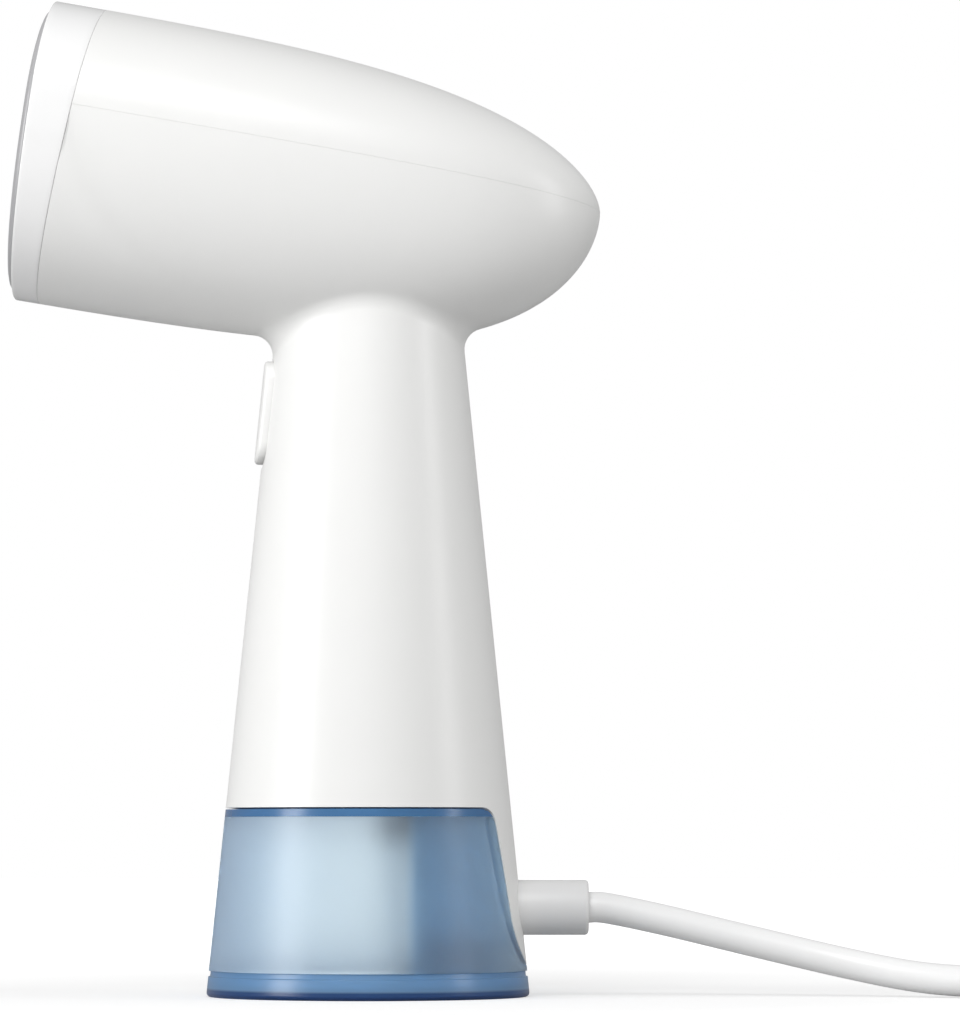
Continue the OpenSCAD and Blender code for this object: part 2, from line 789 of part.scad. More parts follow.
module tank_deck() {
    color("steelblue") difference() {
        union() {
            cone(deck_z, split_z);
            for (side = [-1, 1]) {
                y1 = side > 0 ? 4.3 : -6.3;
                block(hinge_x - knuckle_r, hinge_x + knuckle_r, y1, y1 + 2, split_z, hinge_z);
                rod_y(hinge_x, hinge_z, 2 * knuckle_r, y1, y1 + 2);
            }
        }
        pocket_space(split_z + 5);
        rod_y(hinge_x, hinge_z, pin_d, -8, 8);
        translate([cap_x, 0, deck_z - 1]) cylinder(h = deck_t + 2, r = filler_r, $fn = smooth);
        translate([dock_x, 0, deck_z - 1]) cylinder(h = deck_t + 2, r = socket_r, $fn = 32);
        translate([-6, 18, deck_z - 1]) cylinder(h = deck_t + 2, d = 3, $fn = 32);
    }
}

module tank_base() {
    color("royalblue") difference() {
        union() {
            cone(1, base_h);
            cylinder(h = 1, r1 = body_r(0) - 0.9, r2 = body_r(1), $fn = smooth);
        }
        cone(floor_t, base_h + 1, -tank_wall - 1);
    }
}

module outlet_socket() {
    color("steelblue") translate([dock_x, 0, 0]) difference() {
        translate([0, 0, deck_z - 7]) cylinder(h = socket_top - deck_z + 7, r = socket_r, $fn = 32);
        translate([0, 0, deck_z - 5]) cylinder(h = 20, d = socket_bore, $fn = 32);
        translate([0, 0, deck_z - 8]) cylinder(h = 6, d = 4.6, $fn = 32);
    }
}

module outlet_valve() {
    color("white") translate([dock_x, 0, deck_z - 5]) difference() {
        cylinder(h = 4, d = socket_bore, $fn = 32);
        translate([0, 0, -1]) cylinder(h = 3, d = 3, $fn = 32);
        block(-2.4, 2.4, -0.2, 0.2, 1, 5);
    }
}

module suction_tube() {
    color("aliceblue") translate([dock_x, 0, tube_bottom]) difference() {
        cylinder(h = deck_z - 5 - tube_bottom, d = 4.6, $fn = 32);
        translate([0, 0, -1]) cylinder(h = 60, d = 3, $fn = 32);
    }
}

module strainer() {
    color("silver") translate([dock_x, 0, floor_t]) difference() {
        cylinder(h = 8, d = 8, $fn = 32);
        translate([0, 0, 3]) cylinder(h = 6, d = 4.6, $fn = 32);
        for (a = [0:60:120]) rotate([0, 0, a]) block(-5, 5, -0.5, 0.5, -1, 2);
    }
}

module vent_valve() {
    color("white") translate([-6, 18, 0]) {
        translate([0, 0, deck_z]) cylinder(h = deck_t, d = 3, $fn = 32);
        translate([0, 0, split_z]) cylinder(h = 1.5, d = 6, $fn = 32);
    }
}

module cap_pin() {
    color("silver") rod_y(hinge_x, hinge_z, pin_d, -6.3, 6.3);
}

module filler_cap() {
    color("steelblue") difference() {
        union() {
            translate([cap_x, 0, cap_z]) cylinder(h = cap_t, r = cap_r, $fn = smooth);
            translate([cap_x, 0, deck_z + 0.3]) cylinder(h = cap_z - deck_z, r = filler_r - 0.5, $fn = smooth);
            block(cap_x, hinge_x, -4, 4, cap_z, cap_z + cap_t);
            block(cap_x - cap_r - 1.4, cap_x, -3, 3, cap_z, cap_z + cap_t);
            rod_y(hinge_x, hinge_z, 2 * knuckle_r - 0.6, -4, 4);
        }
        rod_y(hinge_x, hinge_z, pin_d + 2 * pin_gap, -8, 8);
    }
}

module cap_seal() {
    color("white") translate([cap_x, 0, split_z + cap_gap]) difference() {
        cylinder(h = seal_t, r = cap_r - 0.6, $fn = smooth);
        translate([0, 0, -1]) cylinder(h = seal_t + 2, r = filler_r - 0.5, $fn = smooth);
    }
}

// One call per piece
main_housing();
head_cover();
front_bezel();
steam_plate();
plate_seal();
steam_generator();
heating_element();
thermostat();
thermal_fuse();
generator_screws();
water_inlet();
delivery_hose();
pump_body();
pump_coil();
pump_mounts();
suction_hose();
dock_plate();
dock_spigot();
dock_seal();
dock_screws();
inner_frame();
frame_screws();
trigger_bracket();
pivot_pin();
trigger_spring();
microswitch();
control_board();
terminal_block();
spine_cover();
spine_screws();
cord_clamp();
clamp_screws();
cord_guard();
inner_lead();
line_lead();
neutral_lead();
mains_cord();
cord_coil();
cable_tie();
cord_tail();
mains_plug();
plug_pins();
trigger_button();
switch_plunger();
tank_shell();
tank_deck();
tank_base();
outlet_socket();
outlet_valve();
suction_tube();
strainer();
vent_valve();
cap_pin();
filler_cap();
cap_seal();
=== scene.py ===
import math
import bmesh
import bpy
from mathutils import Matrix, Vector


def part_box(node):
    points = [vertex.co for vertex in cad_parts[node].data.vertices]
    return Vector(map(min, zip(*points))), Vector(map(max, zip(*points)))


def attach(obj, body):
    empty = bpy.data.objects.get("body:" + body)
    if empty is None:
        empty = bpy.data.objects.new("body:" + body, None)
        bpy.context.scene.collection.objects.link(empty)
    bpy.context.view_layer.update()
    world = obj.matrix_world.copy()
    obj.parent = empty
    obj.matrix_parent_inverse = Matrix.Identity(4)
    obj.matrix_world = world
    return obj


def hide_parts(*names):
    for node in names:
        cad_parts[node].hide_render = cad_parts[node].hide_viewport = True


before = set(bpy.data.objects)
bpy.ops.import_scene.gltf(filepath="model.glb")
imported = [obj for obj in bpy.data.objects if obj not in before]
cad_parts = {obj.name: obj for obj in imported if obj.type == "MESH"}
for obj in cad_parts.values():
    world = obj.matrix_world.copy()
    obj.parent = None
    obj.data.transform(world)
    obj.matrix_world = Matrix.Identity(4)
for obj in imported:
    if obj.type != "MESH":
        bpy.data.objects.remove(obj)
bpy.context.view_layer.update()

# ---------------------------------------------------------------- Camera
# A long lens just under the height of the tank's upper edge, 1.27 m away and tilted up a little, so that
# the whole steamer and the first stretch of its cord are in view. It looks towards +Y.
camera_x, camera_away, camera_z, aim_z = 0.0276, 1.265, 0.038, 0.1207
camera_data = bpy.data.cameras.new("camera")
camera_data.lens = 181
camera_data.sensor_width = 36
camera = bpy.data.objects.new("camera", camera_data)
bpy.context.collection.objects.link(camera)
camera.location = (camera_x, -camera_away, camera_z)
aim = Vector((camera_x, 0, aim_z))
camera.rotation_euler = (aim - camera.location).to_track_quat("-Z", "Y").to_euler()
bpy.context.scene.camera = camera


# ---------------------------------------------------------------- Mains cord
# Round white PVC lead, 7.8 mm thick. It leaves the guard level, sinks to the table in one slow bend and
# ends in a neat coil of five turns in two layers; the last turn runs off it to the plug.
def smooth_between(table, at):
    """The value of a table of (place, value) rows at a place, eased from row to row."""
    for (a, low), (b, high) in zip(table, table[1:]):
        if at <= b:
            t = (at - a) / (b - a)
            return low + (high - low) * t * t * (3 - 2 * t)
    return table[-1][1]


def spline(points, steps):
    """A Catmull-Rom spline through the points."""
    ends = [points[0]] + list(points) + [points[-1]]
    line = []
    for a, b, c, d in zip(ends, ends[1:], ends[2:], ends[3:]):
        for k in range(steps):
            t = k / steps
            line.append(tuple(
                0.5 * (2 * q + (r - p) * t + (2 * p - 5 * q + 4 * r - s) * t * t
                       + (3 * q - p - 3 * r + s) * t ** 3)
                for p, q, r, s in zip(a, b, c, d)))
    return line + [tuple(points[-1])]


def gloss_plastic(name, colour, roughness, grain=0.5, depth=0.02, mottle=0.015, spread=0.05):
    """Moulded plastic: a faint mottle in the colour, and a fine grain that breaks up the gloss."""
    material = bpy.data.materials.new(name)
    material.use_nodes = True
    nodes, links = material.node_tree.nodes, material.node_tree.links
    shader = nodes["Principled BSDF"]
    place = nodes.new("ShaderNodeTexCoord")
    cloud = nodes.new("ShaderNodeTexNoise")
    cloud.inputs["Scale"].default_value = 60
    cloud.inputs["Detail"].default_value = 3
    tint = nodes.new("ShaderNodeMix")
    tint.data_type = "RGBA"
    tint.inputs["A"].default_value = (*[c * (1 - mottle) for c in colour], 1)
    tint.inputs["B"].default_value = (*colour, 1)
    fine = nodes.new("ShaderNodeTexNoise")
    fine.inputs["Scale"].default_value = 1000 / grain
    fine.inputs["Detail"].default_value = 2
    shine = nodes.new("ShaderNodeMapRange")
    shine.inputs["To Min"].default_value = max(0.02, roughness - spread)
    shine.inputs["To Max"].default_value = roughness + spread
    bump = nodes.new("ShaderNodeBump")
    bump.inputs["Strength"].default_value = 0.25
    bump.inputs["Distance"].default_value = depth / 1000
    for noise in (cloud, fine):
        links.new(place.outputs["Object"], noise.inputs["Vector"])
    links.new(cloud.outputs["Fac"], tint.inputs["Factor"])
    links.new(tint.outputs["Result"], shader.inputs["Base Color"])
    links.new(cloud.outputs["Fac"], shine.inputs["Value"])
    links.new(shine.outputs["Result"], shader.inputs["Roughness"])
    links.new(fine.outputs["Fac"], bump.inputs["Height"])
    links.new(bump.outputs["Normal"], shader.inputs["Normal"])
    return material


cord_white = gloss_plastic("cord_white", (0.86, 0.86, 0.86), 0.32, grain=0.8, depth=0.015)
cord_d = 7.8
exit_point = (54.4, 0, 21.9)
lane_y = -28
floor_route = [exit_point, (59, 0, 21.7), (73, 0, 18.8), (96, 0, 13.3), (118, -1.8, 8.2), (135, -8, 5),
               (150, -15.2, 4), (168, -23.3, 4), (184, -27.6, 4), (192, lane_y, 4)]
coil_x, coil_y = 205, 20
turn_radius = [(0, 48), (240, 48), (360, 40), (600, 40), (720, 32), (1080, 32), (1200, 40), (1440, 40),
               (1560, 48), (1800, 48)]
turn_height = [(0, 4), (900, 4), (1050, 12), (1800, 12)]
coil_end, coil_step, route_steps = 1800, 6, 6
turns = [(coil_x + smooth_between(turn_radius, a) * math.sin(math.radians(a)),
          coil_y - smooth_between(turn_radius, a) * math.cos(math.radians(a)),
          smooth_between(turn_height, a)) for a in range(0, coil_end + 1, coil_step)]
plug_x, plug_y, plug_h, plug_nose = 272, -20, 26, 10
tail_route = [turns[-1], (216, lane_y, 12), (228, -27.2, 11.8), (240, -24.4, 11.6), (251, -21.2, 12.2),
              (258, plug_y, plug_h / 2), (plug_x - plug_nose, plug_y, plug_h / 2)]
cord_line = spline(floor_route + [turns[0]], route_steps)[:-1] + turns[:-1]
cord_line += spline(tail_route, route_steps)
cord_curve = bpy.data.curves.new("mains_cord_sheath", "CURVE")
cord_curve.dimensions = "3D"
cord_curve.bevel_depth = cord_d / 2000
cord_curve.bevel_resolution = 5
cord_curve.use_fill_caps = True
thread = cord_curve.splines.new("POLY")
thread.points.add(len(cord_line) - 1)
for point, at in zip(thread.points, cord_line):
    point.co = (at[0] / 1000, at[1] / 1000, at[2] / 1000, 1)
thread.use_smooth = True
cord = bpy.data.objects.new("mains_cord_sheath", cord_curve)
bpy.context.collection.objects.link(cord)
cord.data.materials.append(cord_white)
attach(cord, "handle_unit")
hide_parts("mains_cord", "cord_coil", "cord_tail")


# ---------------------------------------------------------------- Plug and cable tie
# Moulded two-pin mains plug that narrows to a grip at the cord, lying on its flat side, and the nylon
# strap that keeps the coil together.
def piece(name, verts, faces, material, angle=32):
    """A mesh piece from points in millimetres, closed, turned outwards and smooth but for its edges."""
    mesh = bpy.data.meshes.new(name)
    mesh.from_pydata([tuple(c / 1000 for c in v) for v in verts], [], faces)
    obj = bpy.data.objects.new(name, mesh)
    bpy.context.collection.objects.link(obj)
    obj.data.materials.append(material)
    tidy(obj, angle)
    return obj


def tidy(obj, angle=32):
    """Merges doubles, turns faces outwards and marks the edges that are sharper than an angle."""
    work = bmesh.new()
    work.from_mesh(obj.data)
    bmesh.ops.remove_doubles(work, verts=work.verts, dist=2e-6)
    bmesh.ops.dissolve_degenerate(work, edges=work.edges, dist=1e-6)
    bmesh.ops.recalc_face_normals(work, faces=work.faces)
    for face in work.faces:
        face.smooth = True
    for edge in work.edges:
        edge.smooth = len(edge.link_faces) == 2 and edge.calc_face_angle(0) < math.radians(angle)
    work.to_mesh(obj.data)
    work.free()


def skin(rings, closed=True, caps=True):
    """Points and faces of a skin over rings of equal count."""
    n = len(rings[0])
    verts = [p for ring in rings for p in ring]
    last = n if closed else n - 1
    faces = [(j * n + k, j * n + (k + 1) % n, (j + 1) * n + (k + 1) % n, (j + 1) * n + k)
             for j in range(len(rings) - 1) for k in range(last)]
    if closed and caps:
        faces += [tuple(range(n - 1, -1, -1)), tuple(range(len(verts) - n, len(verts)))]
    return verts, faces


def lathe(profile, segments=128, axis="z", centre=(0, 0, 0)):
    """Rings of a turned shape: the profile is a list of (radius, place along the axis)."""
    rings = []
    for r, h in profile:
        ring = []
        for k in range(segments):
            a = math.tau * k / segments
            u, v = r * math.cos(a), r * math.sin(a)
            p = {"z": (u, v, h), "x": (h, u, v), "y": (v, h, u)}[axis]
            ring.append(tuple(c + o for c, o in zip(p, centre)))
        rings.append(ring)
    return rings


def rounded(corners, radius, steps=4):
    """A 2D path with its inner corners rounded by arcs of a radius, or one radius per corner."""
    path = [corners[0]]
    for i in range(1, len(corners) - 1):
        r = radius[i] if isinstance(radius, (list, tuple)) else radius
        p, a, b = (Vector(corners[j]) for j in (i, i - 1, i + 1))
        to_a, to_b = (a - p).normalized(), (b - p).normalized()
        half = to_a.angle(to_b) / 2
        if r <= 0 or half > math.radians(89):
            path.append(tuple(p))
            continue
        reach = r / math.tan(half)
        centre = p + (to_a + to_b).normalized() * (r / math.sin(half))
        start, end = p + to_a * reach - centre, p + to_b * reach - centre
        turn = start.angle_signed(end)
        for k in range(steps + 1):
            spin = -turn * k / steps
            c, s = math.cos(spin), math.sin(spin)
            path.append((centre.x + start.x * c - start.y * s, centre.y + start.x * s + start.y * c))
    return path + [corners[-1]]


def joined(*skins):
    """Points and faces of several closed skins in one piece."""
    verts, faces = [], []
    for more_verts, more_faces in skins:
        faces += [tuple(i + len(verts) for i in f) for f in more_faces]
        verts += more_verts
    return verts, faces


def flattened(value, power):
    """A sine or cosine raised to a power with its sign kept, which squares a round section."""
    return math.copysign(abs(value) ** power, value)


plug_white = gloss_plastic("plug_white", (0.84, 0.84, 0.84), 0.4, grain=0.3, depth=0.03)
plug_w, plug_squareness = 35, 0.75
grip = [(0, 0.42, 0.56), (1.2, 0.44, 0.6), (9.5, 0.45, 0.62), (12, 0.62, 0.78), (14, 0.9, 0.97),
        (16, 0.985, 0.995), (20, 1, 1), (24, 0.96, 0.95), (28, 0.9, 0.88), (32, 0.9, 0.88), (36, 0.95, 0.94),
        (38.6, 0.97, 0.97), (39.6, 0.95, 0.94), (40, 0.92, 0.9)]
plug_rings = []
for depth, wide, tall in grip:
    ring = []
    for k in range(64):
        a = math.tau * k / 64
        y = plug_w / 2 * wide * flattened(math.cos(a), plug_squareness)
        z = plug_h / 2 * tall * flattened(math.sin(a), plug_squareness)
        ring.append((plug_x - plug_nose + depth, plug_y + y, plug_h / 2 + z))
    plug_rings.append(ring)
plug = piece("mains_plug_body", *skin(plug_rings), plug_white, 50)
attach(plug, "handle_unit")
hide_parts("mains_plug")

pin_steel = gloss_plastic("pin_nickel", (0.72, 0.7, 0.66), 0.25, grain=0.6, depth=0.004)
pin_steel.node_tree.nodes["Principled BSDF"].inputs["Metallic"].default_value = 1
pin_x, pin_l, pin_r, pin_aside = plug_x + 20, 28.99, 2.4, 9.5
pin_profile = rounded([(0, pin_x + pin_l), (pin_r, pin_x + pin_l), (pin_r, pin_x), (0, pin_x)],
                      [0, 1.6, 0.2, 0])
pins = [skin(lathe(pin_profile, 32, "x", (0, plug_y + side * pin_aside, plug_h / 2)), caps=False)
        for side in (-1, 1)]
plug_pins = piece("plug_pin_pair", *joined(*pins), pin_steel)
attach(plug_pins, "handle_unit")
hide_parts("plug_pins")

tie_black = gloss_plastic("tie_black", (0.03, 0.03, 0.03), 0.45, grain=0.5)
tie_low, tie_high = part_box("cable_tie")
tie_centre = (tie_low + tie_high) * 500
tie_half = (tie_high - tie_low) * 500
strap_half_w, strap_t, strap_lift = 2.2, 1, 0.1
strap_foot = -tie_half.z + strap_lift
strap = rounded([(0, strap_foot), (tie_half.x, strap_foot), (tie_half.x, tie_half.z),
                 (-tie_half.x, tie_half.z), (-tie_half.x, strap_foot), (0, strap_foot)], 4, 6)[:-1]
strap_rings = []
for depth, y in ((0, -strap_half_w), (0, strap_half_w), (strap_t, strap_half_w), (strap_t, -strap_half_w)):
    strap_rings.append([(tie_centre.x + u * (1 - depth / tie_half.x), tie_centre.y + y,
                         tie_centre.z + v * (1 - depth / tie_half.z)) for u, v in strap])
strap_rings.append(strap_rings[0])
tie = piece("coil_strap", *skin(strap_rings, caps=False), tie_black)
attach(tie, "handle_unit")
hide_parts("cable_tie")


# ---------------------------------------------------------------- Main housing
# One moulding in satin white ABS: the lower half of the head, the tapered handle and the spine behind
# the tank. A soft fillet joins handle and head, and the edges that meet other pieces are broken.
base_r, taper = 39.9, 0.101
lean = math.atan(taper)
wall = 2.5
nose_x, nose_z, parting_slope = 57.5, 194.3, 0.172
head_up, head_down, head_w = 29.2, 46.6, 37
head_tail = 206.7
seam_x, seam_lean = -82, math.radians(13.5)
split_z, dock_gap = 46, 0.4
cord_z, spine_r, spine_top, spine_x = 21.9, 13.9, 16.8, 12.9
corner_r = 4
fillet_r = 5.5
section_power = 2.2
squareness = 2 / section_power
edge_break = 0.14


def body_r(z):
    return base_r - taper * z


def parting_z(x):
    return nose_z + parting_slope * (nose_x - x)


def along(x, inset=0):
    """How far a place lies along the head, from 0 at its tail's start to 1 at the rear tip."""
    return min(1, max(0, 1 - (nose_x - inset - x) / head_tail))


def rise(x, inset=0):
    """Share of the head's full height that is left at a place."""
    return max(0, 1 - along(x, inset) ** 5.5) ** 0.575


def spread(x, inset=0):
    """Share of the head's full width that is left at a place."""
    return max(0, 1 - along(x, inset) ** 7) ** 0.5


def head_ring_point(x, a, inset=0):
    """A point of the head's skin at a place along X and an angle round its section."""
    c, s = math.cos(a), math.sin(a)
    tall = (head_up if s > 0 else head_down) - inset
    return (x, (head_w - inset) * spread(x, inset) * flattened(c, squareness),
            parting_z(x) + tall * rise(x, inset) * flattened(s, squareness))


def bisect(low, high, is_beyond, steps=40):
    """The place between low and high at which a test turns true."""
    for _ in range(steps):
        mid = (low + high) / 2
        if is_beyond(mid):
            high = mid
        else:
            low = mid
    return (low + high) / 2


def outside_head(x, y, z):
    if x >= nose_x:
        return True
    w, h = head_w * spread(x), head_down * rise(x)
    return abs(y / w) ** section_power + abs((z - parting_z(x)) / h) ** section_power > 1


hub_z = parting_z(0)


def bowl(theta, alpha):
    """Distance from the axis and height of the head's underside, seen from a hub inside the head."""
    cx, cy, cz = math.cos(alpha) * math.cos(theta), math.cos(alpha) * math.sin(theta), -math.sin(alpha)
    reach = bisect(5, 140, lambda t: outside_head(t * cx, t * cy, hub_z + t * cz))
    return reach * math.cos(alpha), hub_z + reach * cz


def seam_plane_x(z):
    return seam_x + (z - parting_z(seam_x) + head_down) * math.tan(seam_lean)


def rim_angle(theta):
    """Where the underside ends: on the parting line, or on the seam behind the bezel."""
    parting = math.atan(parting_slope * math.cos(theta))

    def behind_seam(alpha):
        r, z = bowl(theta, alpha)
        return r * math.cos(theta) > seam_plane_x(z)
    return parting if behind_seam(parting + 1e-4) else bisect(parting, math.radians(60), behind_seam)


def fillet(theta):
    """The fillet between handle and head in one half plane: its centre, and its tangents' angles."""
    def centre_at(alpha):
        r, z = bowl(theta, alpha)
        r2, z2 = bowl(theta, alpha + 1e-3)
        length = math.hypot(r2 - r, z2 - z)
        normal = (-(z2 - z) / length, (r2 - r) / length)
        if normal[1] > 0:
            normal = (-normal[0], -normal[1])
        return r + normal[0] * fillet_r, z + normal[1] * fillet_r, normal

    def close_to_handle(alpha):
        r, z, _ = centre_at(alpha)
        return (r - body_r(z)) * math.cos(lean) < fillet_r
    alpha = bisect(rim_angle(theta), math.radians(75), close_to_handle)
    r, z, normal = centre_at(alpha)
    return alpha, r, z, math.pi + lean, math.atan2(-normal[1], -normal[0])


def spine_half(z, top, grow=0):
    """Half width of the spine at a height, with its lower end round and its upper corners flared."""
    if z < cord_z:
        half = math.sqrt(max(0, (spine_r + grow) ** 2 - (z - cord_z) ** 2))
    else:
        half = spine_r + grow + (spine_top - spine_r) * (z - cord_z) / (split_z - cord_z)
    above = z - (top - corner_r)
    return half + (corner_r - math.sqrt(max(0, corner_r ** 2 - above ** 2)) if above > 0 else 0)


def spine_rows(top, grow=0):
    """Heights from the top of the spine to its tip, close together where its outline turns."""
    rows = [top - corner_r + corner_r * math.cos(math.radians(a)) for a in range(0, 90, 12)]
    rows += [top - corner_r - k * (top - corner_r - cord_z) / 8 for k in range(8)]
    return rows + [cord_z - (spine_r + grow) * math.sin(math.radians(a)) for a in range(0, 91, 6)]


shell_bottom = split_z + dock_gap
flank = math.asin(spine_half(shell_bottom, shell_bottom) / body_r(shell_bottom))
corner = bisect(math.radians(100), math.radians(178), lambda t: rim_angle(t) > math.atan(
    parting_slope * math.cos(t)) + 2e-4)
half_turn = [math.asin(k / 18 * math.sin(flank)) for k in range(18)]
half_turn += [flank + (corner - flank) * k / 60 for k in range(60)]
half_turn += [corner + (math.pi - corner) * k / 14 for k in range(15)]
columns = []
for theta in half_turn:
    alpha, fr, fz, a1, a2 = fillet(theta)
    foot = fz + fillet_r * math.sin(a1)
    column = [(body_r(z), z) for z in (shell_bottom + (foot - shell_bottom) * k / 26 for k in range(26))]
    turn = [a1 + (a2 - a1) * k / 8 for k in range(8)]
    column += [(fr + fillet_r * math.cos(a), fz + fillet_r * math.sin(a)) for a in turn]
    rim = rim_angle(theta)
    column += [bowl(theta, alpha + (rim - alpha) * k / 44) for k in range(45)]
    columns.append([(r * math.cos(theta), r * math.sin(theta), z) for r, z in column])
columns += [[(x, -y, z) for x, y, z in column] for column in reversed(columns[1:-1])]
shell_verts, shell_faces = skin(columns + [columns[0]], closed=False)
tongue = []
for z in spine_rows(shell_bottom):
    half = spine_half(z, shell_bottom)
    row = [(math.sqrt(body_r(z) ** 2 - (t / 18 * half) ** 2), t / 18 * half, z) for t in range(-18, 19)]
    edge_x0 = row[0][0]
    cheek = [spine_x + (edge_x0 - spine_x) * k / 6 for k in range(6)]
    tongue.append([(x, -half, z) for x in cheek] + row + [(x, half, z) for x in reversed(cheek)])
tongue_verts, tongue_faces = skin(tongue, closed=False)
shell_faces += [tuple(i + len(shell_verts) for i in f) for f in tongue_faces]
shell_verts += tongue_verts

satin_white = gloss_plastic("satin_white", (0.8, 0.8, 0.79), 0.36, grain=0.35, depth=0.012)
housing = piece("housing_shell", shell_verts, shell_faces, satin_white, 40)


def bake(obj, angle=32, *made):
    """Applies the modifiers made on a piece, and shades the result."""
    evaluated = obj.evaluated_get(bpy.context.evaluated_depsgraph_get())
    mesh = bpy.data.meshes.new_from_object(evaluated)
    obj.modifiers.clear()
    old = obj.data
    obj.data = mesh
    bpy.data.meshes.remove(old)
    for cutter in made:
        bpy.data.objects.remove(cutter)
    tidy(obj, angle)


def thicken(obj, thickness):
    """Gives a skin a wall of even thickness on its inner side."""
    solid = obj.modifiers.new("wall", "SOLIDIFY")
    solid.thickness = thickness / 1000
    solid.offset = -1
    solid.use_even_offset = True


def break_edges(obj, width, segments=2, angle=50):
    """Rounds the edges that are sharper than an angle."""
    bevel = obj.modifiers.new("edges", "BEVEL")
    bevel.width = width / 1000
    bevel.segments = segments
    bevel.limit_method = "ANGLE"
    bevel.angle_limit = math.radians(angle)
    bevel.use_clamp_overlap = True


def carve(obj, cutter, operation="DIFFERENCE"):
    """Cuts another piece out of a piece, or adds it."""
    cut = obj.modifiers.new("cut", "BOOLEAN")
    cut.operation = operation
    cut.object = cutter
    cut.solver = "EXACT"


thicken(housing, wall)
break_edges(housing, edge_break)
bake(housing, 30)
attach(housing, "handle_unit")
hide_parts("main_housing")


# ---------------------------------------------------------------- Head cover
# The upper half of the head, moulded in the same ABS. It closes on the lower half along a straight
# parting line that rises to the front, and ends at the seam behind the bezel.
def edge_x(a, plane, inset=0):
    """Where along X a line of the head's skin, at an angle round its section, meets a leaning plane."""
    def behind(x):
        point = head_ring_point(x, a, inset)
        return point[0] > plane(point[2])
    return bisect(-104, -50, behind)


cover_rows, cover_lift = 48, 0.03
tip = nose_x - 0.01
cover_lines = []
for k in range(73):
    a = math.pi * k / 72
    front = edge_x(a, seam_plane_x)
    cover_lines.append([head_ring_point(tip - (tip - front) * (i / cover_rows) ** 1.7, a)
                        for i in range(cover_rows + 1)])
cover_lines = [[(x, y, z + cover_lift) for x, y, z in line] for line in cover_lines]
cover = piece("head_cover_shell", *skin(cover_lines, closed=False), satin_white, 40)
thicken(cover, wall)
break_edges(cover, edge_break)
bake(cover, 30)
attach(cover, "handle_unit")
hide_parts("head_cover")


# ---------------------------------------------------------------- Front bezel
# Glossy white ring in front of the seam, deeper at the top than at the bottom, with a fine round edge
# that runs round the steam plate.
face_x, face_z = -82.8, 209
face_lean = math.radians(8.45)
bezel_wall = 1.6
bezel_gap = 0.06


def face_plane_x(z):
    return face_x + (z - face_z) * math.tan(face_lean)


def bezel_back_x(z):
    return seam_plane_x(z) - bezel_gap / math.cos(seam_lean)


around = 144
bezel_rings = [[] for _ in range(16)]
for k in range(around):
    a = math.tau * k / around
    outer = edge_x(a, bezel_back_x), edge_x(a, face_plane_x)
    inner = edge_x(a, face_plane_x, bezel_wall), edge_x(a, bezel_back_x, bezel_wall)
    for i in range(8):
        bezel_rings[i].append(head_ring_point(outer[0] + (outer[1] - outer[0]) * i / 7, a))
        bezel_rings[8 + i].append(head_ring_point(inner[0] + (inner[1] - inner[0]) * i / 7, a, bezel_wall))
bezel_rings.append(bezel_rings[0])
gloss_white = gloss_plastic("gloss_white", (0.84, 0.84, 0.84), 0.09, grain=2, depth=0.003, spread=0.02)
bezel = piece("bezel_ring", *skin(bezel_rings, caps=False), gloss_white, 40)
break_edges(bezel, 0.22, 3)
bake(bezel, 30)
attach(bezel, "handle_unit")
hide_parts("front_bezel")


# ---------------------------------------------------------------- Steam plate
# Slightly domed plate in grey coated aluminium, set in the bezel with a narrow gap, with two rings of
# steam holes round the middle one.
def on_face(x, y, z):
    """A point given in the leaning front face's own axes: depth, across and up."""
    c, s = math.cos(face_lean), math.sin(face_lean)
    return face_x + x * c + z * s, y, face_z - x * s + z * c


face_scale = 1 / (math.cos(face_lean) + parting_slope * math.sin(face_lean))
face_mid = (parting_z(face_x) - face_z) * face_scale
plate_profile = [(4, 2), (0.3, 2), (-0.35, 2.05), (-0.85, 2.3), (-1.2, 2.8), (-1.45, 3.6), (-1.7, 5),
                 (-1.95, 7), (-2.2, 10), (-2.45, 13.5), (-2.65, 17.5), (-2.76, 21.5), (-2.8, 25.5)]
plate_rings = []
for depth, inset in plate_profile:
    ring = []
    for k in range(around):
        a = math.tau * k / around
        c, s = math.cos(a), math.sin(a)
        tall = (head_up if s > 0 else head_down) * face_scale - inset
        ring.append(on_face(depth, (head_w - inset) * flattened(c, squareness),
                            face_mid + tall * flattened(s, squareness)))
    plate_rings.append(ring)
grey_plate = gloss_plastic("grey_plate", (0.36, 0.36, 0.37), 0.3, grain=0.35, depth=0.01, mottle=0.04)
plate = piece("steam_plate_face", *skin(plate_rings), grey_plate, 40)


def node_tree(name, **sizes):
    """A Geometry Nodes tree with one socket for each size, and a helper that adds a linked node."""
    tree = bpy.data.node_groups.new(name, "GeometryNodeTree")
    tree.interface.new_socket("Geometry", in_out="OUTPUT", socket_type="NodeSocketGeometry")
    tree.interface.new_socket("Geometry", in_out="INPUT", socket_type="NodeSocketGeometry")
    for label, value in sizes.items():
        kind = "NodeSocketInt" if isinstance(value, int) else "NodeSocketFloat"
        tree.interface.new_socket(label.replace("_", " "), in_out="INPUT", socket_type=kind)

    def add(kind, settings=None, **inputs):
        node = tree.nodes.new(kind)
        for key, value in (settings or {}).items():
            setattr(node, key, value)
        for key, value in inputs.items():
            socket = next(s for s in node.inputs if s.name == key.replace("_", " ") and s.enabled)
            if isinstance(value, bpy.types.NodeSocket):
                tree.links.new(value, socket)
            else:
                socket.default_value = value
        return node
    return tree, add


